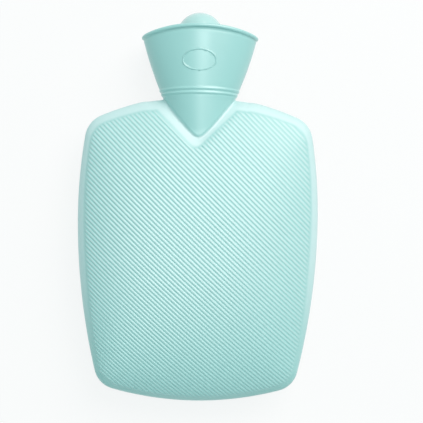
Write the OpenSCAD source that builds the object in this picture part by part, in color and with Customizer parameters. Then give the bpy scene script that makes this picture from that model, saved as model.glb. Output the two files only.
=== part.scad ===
// Hot water bottle: a ribbed soft bottle with a wide oval funnel, closed by a screw stopper.
// The bottle lies on its back. X is its width, Y runs up the neck and Z is up, out of the ribbed face.
// The origin is the centre of the flat on the back that the bottle lies on. Millimetres.

/* [Body] */
// Greatest width of the body
body_w = 199; // [170:1:230]
// Length of the body, from its bottom edge to the top of its shoulders
body_l = 247.5; // [210:0.5:290]
// Thickness of the body before its back is flattened
body_t = 60; // [50:1:72]
// Wall of the body, neck and funnel
wall = 2; // [1.6:0.1:2.6]
// How far the back is flattened where the bottle lies
rest_flat = 1.5; // [1:0.1:3]
// Fullness of the body: 2 is an ellipse from edge to edge, more is boxier
fullness = 2.2; // [2:0.1:3]
// Height above the middle of the body at which it is widest
widest_y = 29; // [15:1:40]
// Radius of the long curve of each side, above the widest place
side_upper_r = 420; // [300:5:600]
// Radius of the long curve of each side, below the widest place
side_lower_r = 540; // [400:5:900]
// Radius of the bottom edge
bottom_r = 266; // [200:2:600]
// Radius of the two bottom corners
bottom_corner_r = 20.5; // [14:0.5:28]
// Half length of the straight top edge beside the neck
shoulder_flat = 41.5; // [34:0.5:46]
// Radius of the turn from that straight edge down into the shoulder
brow_r = 32; // [20:1:50]
// Angle of that turn
brow_turn = 15; // [8:1:22]
// Radius of the long fall of each shoulder
shoulder_r = 235; // [120:5:400]
// Radius of the two shoulder corners
shoulder_corner_r = 22; // [14:1:28]

/* [Ribs] */
// Distance between ribs in the middle of the panel, across them
rib_pitch = 2.85; // [2.6:0.05:5]
// How much flatter than 45 degrees the ribs run in the middle of the panel
rib_lean = 2; // [0:0.5:6]
// How fast the ribs draw together towards the lower left, per metre
rib_crowd = 0.33; // [0:0.01:0.5]
// How fast the ribs turn flatter towards the lower right, per metre
rib_fan = 0.22; // [0:0.01:0.4]
// How much each rib bows, per metre
rib_bow = 0.1; // [0:0.01:0.2]
// Height of the ribs above the plain skin
rib_h = 0.8; // [0.6:0.1:1.8]
// Plain margin at the sides of the ribbed panel
margin_side = 6; // [4:0.5:9]
// Plain margin at the top of the ribbed panel
margin_top = 9; // [6:0.5:12]
// Plain margin at the bottom of the ribbed panel
margin_bottom = 2.5; // [2:0.5:5]
// How far the plain yoke reaches below the foot of the neck
yoke_w = 8.6; // [6:0.1:14]
// How far the yoke's tip stands to the left of the middle
yoke_shift = 2; // [0:0.5:5]

/* [Funnel] */
// Width of the funnel under its rolled rim
funnel_w = 94.6; // [86:0.2:106]
// Height of the rim's side ends above the top of the shoulders
funnel_h = 52.5; // [42:0.5:62]
// Width of the neck where it leaves the body, at the top of the shoulders
waist_w = 57.8; // [52:0.2:64]
// How far the funnel's sides bow out between waist and rim
funnel_bow = 1.35; // [0:0.05:2]
// Width of the neck at its foot, where it sinks into the body
neck_w = 43.4; // [40:0.2:48]
// Depth of the neck at its foot, from front to back
neck_d = 39; // [38.5:0.1:46]
// How far that foot lies below the top of the shoulders
neck_drop = 31; // [26:0.5:36]
// How far the rim's front and back stand above its side ends
rim_rise = 7.3; // [4:0.1:12]
// Radius of the rolled rim
rim_r = 1.8; // [1.2:0.1:2.2]
// How far the rolled rim stands out over the funnel's side
rim_out = 1; // [0.6:0.1:1.8]
// Height of the two bands above the top of the shoulders
band_y = 6.7; // [4:0.1:10]
// Distance between the two bands
band_pitch = 3.2; // [2.4:0.1:4]
// How far each band stands proud
band_h = 0.6; // [0.4:0.1:1.2]
// Width of the moulded oval on the front of the funnel
oval_w = 27; // [20:0.5:34]
// Height of the moulded oval
oval_h = 14.8; // [12:0.2:22]
// How far the oval's middle lies below the rim's side ends
oval_drop = 23.5; // [16:0.1:28]
// Gap between the rim and the surface that the bottle lies on
rim_gap = 0.5; // [0.3:0.1:1.5]

/* [Thread] */
// Height of the socket's seat above the foot of the neck
seat_rise = 15.4; // [14:0.1:20]
// Radius of the stopper's spigot at the root of its thread
spigot_r = 11.6; // [9.5:0.1:12.5]
// Depth of both threads
thread_depth = 1.4; // [1:0.1:1.6]
// Clearance between the two threads, each way
thread_gap = 0.5; // [0.4:0.05:0.7]
// Lead of the thread for each turn
thread_pitch = 4.5; // [4:0.1:6]
// Turns of thread on the stopper
thread_turns = 2.5; // [2:0.25:3]
// Plain length of the stopper's spigot above and below its thread
thread_inset = 3; // [2:0.5:4]
// Wall of the socket outside its thread
socket_wall = 3; // [2.4:0.1:3.2]
// Thickness of the socket's flange
socket_flange_t = 2; // [1.5:0.1:3]
// How far the socket's flange stands out over the sleeve that holds the socket
socket_flange_w = 1.4; // [1:0.1:1.6]
// Length of the socket under its flange
socket_l = 21; // [19:0.5:26]

/* [Stopper] */
// Radius of the ball knob
knob_r = 19.3; // [16:0.1:20]
// Height of the knob's top above the rim's side ends
knob_top = 21.5; // [16:0.1:32]
// Radius of the stem under the knob
stem_r = 10; // [9:0.1:12]
// Radius of the flange that presses the seal
flange_r = 17.4; // [16:0.1:17.8]
// Thickness of that flange
flange_t = 3; // [2:0.1:4]
// How far the hollow in spigot and stem ends below the middle of the knob
hollow_drop = 5.8; // [4:0.1:10]
// Wall of the hollow spigot and stem
stopper_wall = 2.6; // [2:0.1:3.5]

/* [Seal] */
// Thickness of the seal ring
seal_t = 2.5; // [1.5:0.1:3.5]
// Width of the ring from its inner to its outer edge
seal_w = 4.6; // [3.5:0.1:5]
// Clearance between the ring and the spigot
seal_gap = 0.3; // [0.2:0.05:0.5]

/* [Hidden] */

mint = [0.66, 0.87, 0.85];
pale_mint = [0.76, 0.91, 0.89];
socket_white = [0.93, 0.94, 0.92];
seal_grey = [0.80, 0.84, 0.83];

$fn = 96;
small = 0.01;

// Places along the bottle, measured up the neck from the middle of the body
top_y = body_l / 2;
rim_y = top_y + funnel_h;
foot_y = top_y - neck_drop;
axis_z = body_t / 2 - rest_flat;
seat_y = foot_y + seat_rise;
seal_y = seat_y + socket_flange_t;
flange_y = seal_y + seal_t;
stem_y = flange_y + flange_t;
knob_y = rim_y + knob_top - knob_r;

// Half depth of the funnel at its rim, which just clears the surface below
rim_half_d = axis_z - rim_gap - rim_out;

// Points of an arc about c, from angle a to angle b, without its last point
function arc(c, r, a, b, n) = [for (i = [0:n - 1]) c + r * [cos(a + (b - a) * i / n), sin(a + (b - a) * i / n)]];
function direction(from, to) = atan2(to.y - from.y, to.x - from.x);

// Centre of a circle of radius r that rolls inside two larger circles and touches both of them.
// Of the two places, it takes the one to the left of the way from c1 to c2.
function rolled(c1, r1, c2, r2, r) =
    let (a = r1 - r, b = r2 - r, v = c2 - c1, d = norm(v), u = v / d,
         along = (a * a - b * b + d * d) / (2 * d), across = sqrt(a * a - along * along))
    c1 + along * u + across * [-u.y, u.x];

// The outline of the body seen from the front is a chain of arcs, each tangent to the next
bottom_c = [0, -top_y + bottom_r];
lower_c = [body_w / 2 - side_lower_r, widest_y];
upper_c = [body_w / 2 - side_upper_r, widest_y];
brow_c = [shoulder_flat, top_y - brow_r];
shoulder_c = brow_c - (shoulder_r - brow_r) * [sin(brow_turn), cos(brow_turn)];
low_corner_c = rolled(bottom_c, bottom_r, lower_c, side_lower_r, bottom_corner_r);
high_corner_c = rolled(upper_c, side_upper_r, shoulder_c, shoulder_r, shoulder_corner_r);
a1 = direction(bottom_c, low_corner_c);
a2 = direction(lower_c, low_corner_c);
a3 = direction(upper_c, high_corner_c);
a4 = direction(shoulder_c, high_corner_c);
right_side = concat(
    arc(bottom_c, bottom_r, -90, a1, 6),
    arc(low_corner_c, bottom_corner_r, a1, a2, 6),
    arc(lower_c, side_lower_r, a2, 0, 7),
    arc(upper_c, side_upper_r, 0, a3, 4),
    arc(high_corner_c, shoulder_corner_r, a3, a4, 5),
    arc(shoulder_c, shoulder_r, a4, 90 - brow_turn, 3),
    arc(brow_c, brow_r, 90 - brow_turn, 90, 3),
    [[shoulder_flat, top_y]]
);
side_n = len(right_side);
outline = concat(right_side, [[0, top_y]], [for (i = [side_n - 1:-1:1]) [-right_side[i].x, right_side[i].y]]);

// The outline's distance from the middle of the body, by direction
polar = concat([for (p = outline) let (a = atan2(p.y, p.x)) [a < -90 ? a + 360 : a, norm(p)]], [[270, top_y]]);
function reach(a) = lookup(a < -90 ? a + 360 : a, polar);

// How far an outline point stands out over a plain rounded box of the same width and length
function outset(a) =
    let (r = reach(a)) pow(abs(r * cos(a)) / (body_w / 2), fullness) + pow(abs(r * sin(a)) / top_y, fullness);

// Level of a place on the body: 0 in its middle and 1 on its outline. Its contours are rounder inside.
function level(p) =
    let (a = atan2(p.y, p.x), e = outset(a), g = pow(norm(p) / reach(a), fullness)) e * g + (1 - e) * g * g;
// Share of the way to the outline at which a direction reaches a level
function share_at(q, a) = let (e = outset(a)) pow(2 * q / (e + sqrt(e * e + 4 * (1 - e) * q)), 1 / fullness);
// Half thickness of the body at a level
function crown(q, half_t) = half_t * sqrt(max(0, 1 - q));

// A closed skin over rings of points, each ring with as many points as the next, with flat ends
module skin(rings) {
    n = len(rings[0]);
    last = len(rings) - 1;
    polyhedron(
        points = [for (r = rings) each r],
        faces = concat(
            [[for (i = [n - 1:-1:0]) i]],
            [[for (i = [0:n - 1]) last * n + i]],
            [for (k = [0:last - 1], i = [0:n - 1])
                let (a = k * n + i, b = k * n + (i + 1) % n)
                each [[a, b, a + n], [b, b + n, a + n]]]
        ),
        convexity = 6
    );
}

// The pillow shape of the body, or of the space in it when inset is the wall. Its back is flattened.
body_levels = [for (e = [4, 12, 22, 34, 46, 58, 70, 81, 90]) pow(sin(e), 2)];
function pillow_ring(q, z, scale_w, scale_l, step) =
    [for (i = [0:step:len(outline) - 1])
        let (p = outline[i] * share_at(q, atan2(outline[i].y, outline[i].x))) [p.x * scale_w, p.y * scale_l, z]];

module pillow(inset, step) {
    half_t = body_t / 2 - inset;
    sw = (body_w / 2 - inset) / (body_w / 2);
    sl = (top_y - inset) / top_y;
    back = axis_z - inset;
    back_q = 1 - pow(back / half_t, 2);
    n = len(body_levels);
    skin(concat(
        [for (k = [0:n - 1]) pillow_ring(body_levels[k], axis_z + crown(body_levels[k], half_t), sw, sl, step)],
        [for (k = [n - 2:-1:0]) if (body_levels[k] > back_q + 0.02)
            pillow_ring(body_levels[k], axis_z - crown(body_levels[k], half_t), sw, sl, step)],
        [pillow_ring(back_q, axis_z - back, sw, sl, step)]
    ));
}

// Ribs. Each runs down to the right at about 45 degrees. It is named by a value v that it keeps, which is
// near c = x + y in the middle of the panel. Along a rib, d = x - y grows.
line_step = rib_pitch * sqrt(2) / 2;
rib_segments = 8;
lean = tan(rib_lean);
crowd = rib_crowd / 1000;
spread = rib_fan / 1000;
bow = rib_bow / 1000;
function line_of(p) =
    let (c = p.x + p.y, d = p.x - p.y) c - lean * d - crowd * c * c + spread * c * d - bow * d * d;
// The place on a line at which x - y is d
function on_line(v, d) =
    let (b = 1 + spread * d, k = v + lean * d + bow * d * d, c = 2 * k / (b + sqrt(b * b - 4 * crowd * k)))
    [(c + d) / 2, (c - d) / 2];
function panel_reach(a) =
    reach(a) - margin_side - (margin_top - margin_side) * pow(max(0, sin(a)), 6)
             - (margin_bottom - margin_side) * pow(max(0, -sin(a)), 3);
function in_panel(p) = norm(p) < panel_reach(atan2(p.y, p.x));

// Where a line leaves the panel, found by halving between an inner and an outer place on it
function panel_end(v, inner, outer, n = 14) =
    n == 0 ? inner
    : let (mid = (inner + outer) / 2)
      in_panel(on_line(v, mid)) ? panel_end(v, mid, outer, n - 1) : panel_end(v, inner, mid, n - 1);

// The two corners of the panel that the furthest lines would touch. Each line crosses the way from the middle
// to one of them, where it is surely inside the panel. Along that way v grows evenly, with a square term.
panel_rim = [for (p = outline) let (a = atan2(p.y, p.x)) panel_reach(a) * [cos(a), sin(a)]];
function corner_of(sign) =
    let (best = max([for (p = panel_rim) sign * line_of(p)]))
    [for (p = panel_rim) if (sign * line_of(p) == best) p][0];
high_corner = corner_of(1);
low_corner = corner_of(-1);
// The furthest lines stay this many steps inside those corners
end_share = 0.6;
first_line = ceil(line_of(low_corner) / line_step + end_share);
last_line = floor(line_of(high_corner) / line_step - end_share);
far_out = body_l + body_w;
function middle_of(v) =
    let (p = v > 0 ? high_corner : low_corner, even = (line_of(p) - line_of(-p)) / 2, square = line_of(p) - even)
    (p.x - p.y) * 2 * v / (even + sign(even) * sqrt(even * even + 4 * square * v));

rib_lines = [for (i = [first_line:last_line])
    let (v = i * line_step, m = middle_of(v), d0 = panel_end(v, m, m - far_out), d1 = panel_end(v, m, m + far_out))
    [for (j = [0:rib_segments])
        let (d = (d0 + d1) / 2 - (d1 - d0) / 2 * cos(180 * j / rib_segments), p = on_line(v, d))
        [p.x, p.y, axis_z + crown(level(p), body_t / 2) + (i % 2 == 0 ? rib_h : 0)]]];
// The ribbed block reaches this far below the middle of the body, well inside it
rib_sink = 5;
rib_floor = axis_z - rib_sink;
// How far the ribbed panel laps over the plain skin round it
rib_overlap = 0.6;
panel_outline = concat(
    [for (l = rib_lines) [l[0].x, l[0].y]],
    [for (i = [len(rib_lines) - 1:-1:0]) let (e = rib_lines[i][rib_segments]) [e.x, e.y]]
);

module ribbed_block() {
    n = len(rib_lines);
    m = rib_segments + 1;
    low = n * m;
    polyhedron(
        points = concat([for (l = rib_lines) each l], [for (p = panel_outline) [p.x, p.y, rib_floor]]),
        faces = concat(
            [for (i = [0:n - 2], j = [0:m - 2])
                let (a = i * m + j, b = (i + 1) * m + j) each [[a, b, b + 1], [a, b + 1, a + 1]]],
            [for (i = [0:n - 2]) each [
                [i * m, low + i, low + i + 1], [i * m, low + i + 1, (i + 1) * m],
                [i * m + m - 1, (i + 1) * m + m - 1, low + 2 * n - 2 - i],
                [i * m + m - 1, low + 2 * n - 2 - i, low + 2 * n - 1 - i]]],
            [concat([for (j = [0:m - 1]) j], [low + 2 * n - 1, low])],
            [concat([for (j = [m - 1:-1:0]) (n - 1) * m + j], [low + n - 1, low + n])],
            [[for (k = [2 * n - 1:-1:0]) low + k]]
        ),
        convexity = 8
    );
}

// The plain yoke is a notch in the ribs that follows the foot of the neck. Its left edge runs along a rib.
yoke_tip = [-yoke_shift, foot_y - yoke_w];
yoke_n = 4;
module yoke() {
    polygon(concat(
        [for (k = [0:yoke_n]) on_line(line_of(yoke_tip), yoke_tip.x - yoke_tip.y - body_w * k / yoke_n)],
        [yoke_tip + [body_w, body_w] / 2]));
}

// The funnel. Its section is oval and changes evenly from the foot of the neck to the rim.
function up(y) = (y - foot_y) / (rim_y - foot_y);
function waist_up(y) = (y - top_y) / funnel_h;
function half_w(y) = let (v = waist_up(y), u = max(0, (y - foot_y) / neck_drop))
    v > 0 ? waist_w / 2 + (funnel_w - waist_w) / 2 * v + funnel_bow * 4 * v * (1 - v)
          : neck_w / 2 + (waist_w - neck_w) / 2 * u;
function half_d(y) = neck_d / 2 + (rim_half_d - neck_d / 2) * max(0, up(y));
function rise(y) = rim_rise * pow(max(0, up(y)), 2.6);

// One ring of the funnel at height y, moved out by grow. Its front and back stand higher than its sides.
funnel_n = 40;
function funnel_ring(y, grow, lift = 0) =
    [for (i = [0:funnel_n - 1]) let (a = 360 * i / funnel_n)
        [(half_w(y) + grow) * cos(a), y + lift + rise(y) * pow(sin(a), 2), axis_z + (half_d(y) + grow) * sin(a)]];

sleeve_end = seat_y - socket_l;
band_ys = [for (k = [0, 1]) top_y + band_y - (k - 0.5) * band_pitch];
// Each band has a flat top and sloping sides: shares of the distance between bands, from its middle
band_foot = 0.42 * band_pitch;
band_top = 0.2 * band_pitch;
function band(y) = [
    funnel_ring(y - band_foot, 0), funnel_ring(y - band_top, band_h),
    funnel_ring(y + band_top, band_h), funnel_ring(y + band_foot, 0)];
// The rolled rim goes over the edge of the wall and stands out on its outer side
function rim_roll() =
    [for (a = [-70:35:175])
        funnel_ring(rim_y, -wall / 2 + (wall / 2 + (cos(a) > 0 ? rim_out : 0)) * cos(a), rim_r * sin(a))];

module funnel_outside() {
    skin(concat(
        [funnel_ring(sleeve_end, 0), funnel_ring(foot_y, 0), funnel_ring(top_y, 0)],
        band(band_ys[1]), band(band_ys[0]),
        [for (v = [1 / 3, 2 / 3]) funnel_ring(band_ys[0] + (rim_y - band_ys[0]) * v, 0)],
        [funnel_ring(rim_y - 1.4 * rim_r, 0)],
        rim_roll(),
        [for (v = [2 / 3, 1 / 3]) funnel_ring(top_y + (rim_y - top_y) * v, -wall)],
        [funnel_ring(top_y, -wall), funnel_ring(seat_y + wall, -wall), flat_ring(seat_y, -wall)]
    ));
}
// The space in the funnel, out to the middle of its wall, where the shoulders are cut away
module funnel_space() {
    skin([flat_ring(seat_y - small, -wall / 2), flat_ring(top_y + wall, -wall / 2)]);
}
function flat_ring(y, grow) =
    [for (i = [0:funnel_n - 1]) let (a = 360 * i / funnel_n)
        [(half_w(y) + grow) * cos(a), y, axis_z + (half_d(y) + grow) * sin(a)]];

// Turns a piece that was drawn about Z, with heights along the bottle, onto the bottle's axis
module on_axis() {
    translate([0, 0, axis_z]) rotate([-90, 0, 0]) children();
}

// A thin moulded oval stands on the front of the funnel
oval_n = 24;
oval_bead_r = 0.55;
oval_y = rim_y - oval_drop;
function oval_point(i) =
    let (a = 360 * i / oval_n, x = oval_w / 2 * cos(a), y = oval_y + oval_h / 2 * sin(a),
         front = 1 - pow(x / half_w(y), 2))
    [x, y + rise(y) * front, axis_z + half_d(y) * sqrt(front)];
module moulded_oval() {
    for (i = [0:oval_n - 1]) hull() {
        translate(oval_point(i)) sphere(r = oval_bead_r, $fn = 6);
        translate(oval_point(i + 1)) sphere(r = oval_bead_r, $fn = 6);
    }
}

socket_bore_r = spigot_r + thread_depth + thread_gap;
socket_r = socket_bore_r + socket_wall;
sleeve_n = 48;

module bottle() {
    color(mint) difference() {
        union() {
            difference() {
                union() {
                    difference() {
                        pillow(0, 1);
                        translate([0, 0, axis_z]) linear_extrude(body_t) offset(delta = -rib_overlap)
                            difference() { polygon(panel_outline); yoke(); }
                    }
                    difference() {
                        ribbed_block();
                        translate([0, 0, rib_floor - 1]) linear_extrude(body_t) yoke();
                    }
                }
                pillow(wall, 2);
                funnel_space();
            }
            funnel_outside();
            moulded_oval();
        }
        on_axis() translate([0, 0, sleeve_end - 1])
            cylinder(r = socket_r / cos(180 / sleeve_n), h = seat_y - sleeve_end + 2, $fn = sleeve_n);
    }
}

// A thread ridge wound on a cylinder: inner_r is its buried edge, outer_r its tip or the other way round
ridge_n = 24;
module ridge(buried_r, tip_r, base, tip, turns) {
    n = ceil(turns * ridge_n);
    ring = [[buried_r, -base / 2], [tip_r, -tip / 2], [tip_r, tip / 2], [buried_r, base / 2]];
    order = buried_r < tip_r ? [0, 1, 2, 3] : [3, 2, 1, 0];
    polyhedron(
        points = [for (k = [0:n], q = order)
            let (t = turns * k / n, r = ring[q].x)
            [r * cos(360 * t), r * sin(360 * t), ring[q].y + thread_pitch * t]],
        faces = concat(
            [[3, 2, 1, 0]], [[4 * n, 4 * n + 1, 4 * n + 2, 4 * n + 3]],
            [for (k = [0:n - 1], q = [0:3])
                let (a = 4 * k + q, b = 4 * k + (q + 1) % 4) each [[a, b, a + 4], [b, b + 4, a + 4]]]
        ),
        convexity = 8
    );
}

// Both ridges have the same form, and lie half a lead apart
ridge_base = 0.5 * thread_pitch;
ridge_tip = 0.24 * thread_pitch;
// How far a ridge is sunk into its cylinder
bury = 0.4;
male_y = seat_y - thread_inset - thread_pitch * thread_turns;
socket_turns = thread_turns + 0.5;
female_y = male_y - thread_pitch * 0.5;

module thread_socket() {
    color(socket_white) on_axis() union() {
        rotate_extrude() polygon([
            [socket_bore_r, sleeve_end], [socket_r, sleeve_end], [socket_r, seat_y],
            [socket_r + socket_flange_w, seat_y], [socket_r + socket_flange_w, seal_y], [socket_bore_r, seal_y]]);
        translate([0, 0, female_y])
            ridge(socket_bore_r + bury, spigot_r + thread_gap, ridge_base, ridge_tip, socket_turns);
    }
}

module stopper_seal() {
    color(seal_grey) on_axis() translate([0, 0, seal_y]) difference() {
        cylinder(r = spigot_r + seal_gap + seal_w, h = seal_t);
        translate([0, 0, -1]) cylinder(r = spigot_r + seal_gap, h = seal_t + 2);
    }
}

// The stopper is one moulding: a hollow threaded spigot, the flange that presses the seal, a stem and a ball knob
spigot_end = male_y - thread_inset;
stem_top = knob_y - sqrt(knob_r * knob_r - stem_r * stem_r) + 1;
hollow_top = knob_y - hollow_drop;
module stopper() {
    color(pale_mint) on_axis() union() {
        difference() {
            union() {
                translate([0, 0, spigot_end]) cylinder(r = spigot_r, h = flange_y - spigot_end);
                translate([0, 0, flange_y]) cylinder(r = flange_r, h = flange_t);
                translate([0, 0, stem_y]) cylinder(r = stem_r, h = stem_top - stem_y);
                translate([0, 0, knob_y]) sphere(r = knob_r);
            }
            translate([0, 0, spigot_end - 1])
                cylinder(r = stem_r - stopper_wall, h = hollow_top - spigot_end + 1);
        }
        translate([0, 0, male_y])
            ridge(spigot_r - bury, spigot_r + thread_depth, ridge_base, ridge_tip, thread_turns);
    }
}

bottle();
thread_socket();
stopper_seal();
stopper();
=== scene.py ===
"""Hot water bottle: the looks of a ribbed mint bottle with its screw stopper, lying on a pale floor."""

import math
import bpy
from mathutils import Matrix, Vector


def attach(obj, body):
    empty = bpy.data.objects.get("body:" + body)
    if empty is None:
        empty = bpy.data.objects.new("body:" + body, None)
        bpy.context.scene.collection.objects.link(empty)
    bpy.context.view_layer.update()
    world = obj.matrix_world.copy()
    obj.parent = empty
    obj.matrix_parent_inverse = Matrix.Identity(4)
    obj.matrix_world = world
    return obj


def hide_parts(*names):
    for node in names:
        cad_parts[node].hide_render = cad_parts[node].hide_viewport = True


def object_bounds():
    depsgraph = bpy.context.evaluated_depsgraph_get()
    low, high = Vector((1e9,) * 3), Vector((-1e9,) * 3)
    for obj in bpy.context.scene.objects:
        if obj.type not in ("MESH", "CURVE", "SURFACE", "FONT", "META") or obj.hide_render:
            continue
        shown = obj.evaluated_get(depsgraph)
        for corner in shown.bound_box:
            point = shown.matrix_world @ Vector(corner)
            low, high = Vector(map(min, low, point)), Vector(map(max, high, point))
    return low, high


bl_info = {
    "name": "Ribbed hot water bottle",
    "version": (1, 0, 0),
    "blender": (4, 5, 0),
    "location": "3D View > Sidebar > Bottle",
    "description": "Ribbed soft bottle with a wide oval funnel, its screw stopper and a pale studio",
    "category": "Add Mesh",
}

import bpy
import numpy as np
from bpy.props import FloatProperty, FloatVectorProperty, IntProperty, PointerProperty

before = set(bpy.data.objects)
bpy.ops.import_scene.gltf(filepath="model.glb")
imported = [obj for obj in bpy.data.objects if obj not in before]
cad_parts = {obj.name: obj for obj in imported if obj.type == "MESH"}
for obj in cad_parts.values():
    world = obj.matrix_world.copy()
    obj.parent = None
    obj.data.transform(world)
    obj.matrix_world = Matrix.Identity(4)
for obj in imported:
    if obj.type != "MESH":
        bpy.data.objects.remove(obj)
cad_low, cad_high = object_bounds()
MM = 0.001


def length(default_mm, name, description):
    """A length property, given in millimetres and held in metres."""
    return FloatProperty(
        name=name, description=description, default=default_mm * MM, precision=5, unit="LENGTH"
    )


def angle(default_degrees, name, description):
    """An angle property, given in degrees and held in radians."""
    return FloatProperty(
        name=name, description=description, default=math.radians(default_degrees), subtype="ANGLE"
    )


def number(default, name, description, low=0.0, high=100.0):
    """A property that is a plain number."""
    return FloatProperty(name=name, description=description, default=default, min=low, max=high)


def colour(default, name, description):
    """A colour property with an alpha of 1, in linear light."""
    return FloatVectorProperty(
        name=name, description=description, default=default, size=4, min=0.0, max=1.0, subtype="COLOR"
    )


class BottleSizes(bpy.types.PropertyGroup):
    """Sizes of the bottle moulding."""

    body_w: length((cad_high.x - cad_low.x) / MM, "Body width", "Greatest width of the body")
    body_l: length(247.5, "Body length", "From the bottom edge to the top of the shoulders")
    body_t: length(60.0, "Body thickness", "Thickness of the body before its back is flattened")
    rest_flat: length(1.5, "Flat back", "How far the back is flattened where the bottle lies")
    fullness: number(2.2, "Fullness", "2 is an ellipse from edge to edge, more is boxier", 2.0, 3.0)
    widest_y: length(29.0, "Widest place", "Height above the middle at which the body is widest")
    side_upper_r: length(420.0, "Upper side radius", "Long curve of each side above the widest place")
    side_lower_r: length(540.0, "Lower side radius", "Long curve of each side below the widest place")
    bottom_r: length(266.0, "Bottom radius", "Long curve of the bottom edge")
    bottom_corner_r: length(20.5, "Bottom corner radius", "Rounding of the two bottom corners")
    shoulder_flat: length(41.5, "Shoulder flat", "Half length of the straight top edge beside the neck")
    brow_r: length(32.0, "Brow radius", "Turn from that edge down into the shoulder")
    brow_turn: angle(15.0, "Brow turn", "Angle of that turn")
    shoulder_r: length(235.0, "Shoulder radius", "Long fall of each shoulder")
    shoulder_corner_r: length(22.0, "Shoulder corner radius", "Rounding of the two shoulder corners")
    wall: length(2.0, "Wall", "Thickness of the funnel's wall")
    neck_w: length(43.4, "Neck width", "Width of the neck at its foot")
    neck_d: length(39.0, "Neck depth", "Depth of the neck at its foot")
    neck_drop: length(31.0, "Neck drop", "How far the foot lies below the top of the shoulders")
    waist_w: length(57.8, "Waist width", "Width of the neck where it leaves the body")
    funnel_bow: length(1.35, "Funnel bow", "How far the funnel's sides bow out between waist and rim")
    funnel_w: length(94.6, "Funnel width", "Width of the funnel under its rim")
    funnel_h: length(52.5, "Funnel height", "Rim's side ends above the top of the shoulders")
    rim_rise: length(7.3, "Rim rise", "How far the rim's front and back stand above its side ends")
    rim_r: length(1.8, "Rim radius", "Radius of the rolled rim")
    rim_out: length(1.0, "Rim overhang", "How far the rolled rim stands out over the funnel's side")
    rim_gap: length(0.5, "Rim gap", "Gap between the rim and the floor")
    band_y: length(6.7, "Band height", "Height of the two bands above the top of the shoulders")
    band_pitch: length(3.2, "Band distance", "Distance between the two bands")
    band_h: length(0.6, "Band relief", "How far each band stands proud")
    oval_w: length(27.0, "Oval width", "Width of the moulded oval on the funnel")
    oval_h: length(14.8, "Oval height", "Height of the moulded oval")
    oval_drop: length(23.5, "Oval drop", "How far the oval's middle lies below the rim's side ends")
    oval_r: length(0.38, "Oval line", "Radius of the oval's raised line")
    blend: length(1.5, "Neck blend", "Softness of the crease between neck and body")
    groove: length(1.6, "Crease depth", "How deep the body rolls down to that crease")
    groove_w: length(9.0, "Crease width", "Width of the pale band over which it does so")
    groove_turn: length(6.0, "Crease turn", "Roundness of the lowest point of the crease")
    groove_steep: number(1.31, "Crease slope", "Slope of the crease's sides")


class RibSizes(bpy.types.PropertyGroup):
    """Sizes of the ribbed panel."""

    pitch: length(2.85, "Rib pitch", "Distance between ribs in the middle of the panel, across them")
    lean: angle(2.0, "Rib lean", "How much flatter than 45 degrees the ribs run in the middle")
    crowd: number(0.33, "Crowding", "How fast the ribs draw together, per metre")
    fan: number(0.22, "Fanning", "How fast the ribs turn flatter, per metre")
    bow: number(0.1, "Bowing", "How much each rib bows, per metre")
    height: length(0.78, "Rib height", "Height of the ribs above the plain skin")
    margin_side: length(6.0, "Side margin", "Plain margin at the sides of the panel")
    margin_top: length(9.0, "Top margin", "Plain margin at the top of the panel")
    margin_bottom: length(2.5, "Bottom margin", "Plain margin at the bottom of the panel")
    yoke_w: length(8.8, "Yoke", "How far the plain yoke reaches below the foot of the neck")
    yoke_shift: length(2.0, "Yoke shift", "How far the yoke's tip stands to the left of the middle")
    yoke_r: length(5.0, "Yoke radius", "Rounding of the yoke's tip")
    tip: length(3.2, "Rib tips", "Length over which each rib dies away")
    # Share of pale mint painted on the ribs' crests as a painted highlight
    painted_crest_highlight: number(0.9, "Pale crests", "How far the ribs' crests go over to the pale mint", 0.0, 1.0)
    steps: IntProperty(name="Steps", description="Points across each rib", default=8, min=4, max=16)


class StopperSizes(bpy.types.PropertyGroup):
    """Sizes of the stopper and its thread."""

    knob_r: length(19.3, "Knob radius", "Radius of the ball knob")
    knob_top: length(21.5, "Knob top", "Top of the knob above the rim's side ends")
    stem_r: length(10.0, "Stem radius", "Radius of the stem under the knob")
    flange_r: length(17.4, "Flange radius", "Radius of the flange that presses the seal")
    flange_t: length(3.0, "Flange thickness", "Thickness of that flange")
    spigot_r: length(11.6, "Spigot radius", "Radius of the spigot at the root of its thread")
    seat_rise: length(15.4, "Seat", "Height of the socket's seat above the foot of the neck")
    thread_inset: length(3.0, "Thread inset", "Plain length of the spigot above and below its thread")
    hollow_drop: length(5.8, "Hollow end", "How far the hollow ends below the middle of the knob")
    hollow_r: length(7.4, "Hollow radius", "Radius of the hollow in spigot and stem")
    thread_depth: length(1.4, "Thread depth", "Depth of the thread")
    thread_pitch: length(4.5, "Thread lead", "Rise of the thread for each turn")
    thread_turns: number(2.5, "Turns", "Turns of thread on the stopper")
    socket_r: length(16.5, "Socket radius", "Outer radius of the thread socket in the neck")
    socket_l: length(21.0, "Socket length", "Length of the socket under its flange")
    socket_flange_t: length(2.0, "Socket flange", "Thickness of the socket's flange")
    seal_t: length(2.5, "Seal thickness", "Thickness of the seal ring")


class BottleColours(bpy.types.PropertyGroup):
    """Colours of the bottle, its stopper and the studio."""

    mint: colour((0.35, 0.665, 0.645, 1.0), "Mint", "Soft plastic of the bottle")
    mint_deep: colour((0.33, 0.645, 0.625, 1.0), "Deep mint", "Faint deeper clouds in the bottle's plastic")
    # Pale mint: a painted highlight and reflection on the plain border, the yoke and the ribs' crests
    pale: colour((0.60, 0.80, 0.80, 1.0), "Pale mint", "Plain border, yoke and crests of the ribs")
    knob: colour((0.46, 0.75, 0.73, 1.0), "Knob mint", "Stopper")
    socket: colour((0.80, 0.84, 0.80, 1.0), "Socket white", "Thread socket in the neck")
    seal: colour((0.55, 0.60, 0.59, 1.0), "Seal grey", "Seal ring")
    floor: colour((0.90, 0.90, 0.90, 1.0), "Floor", "Pale floor")


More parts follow.
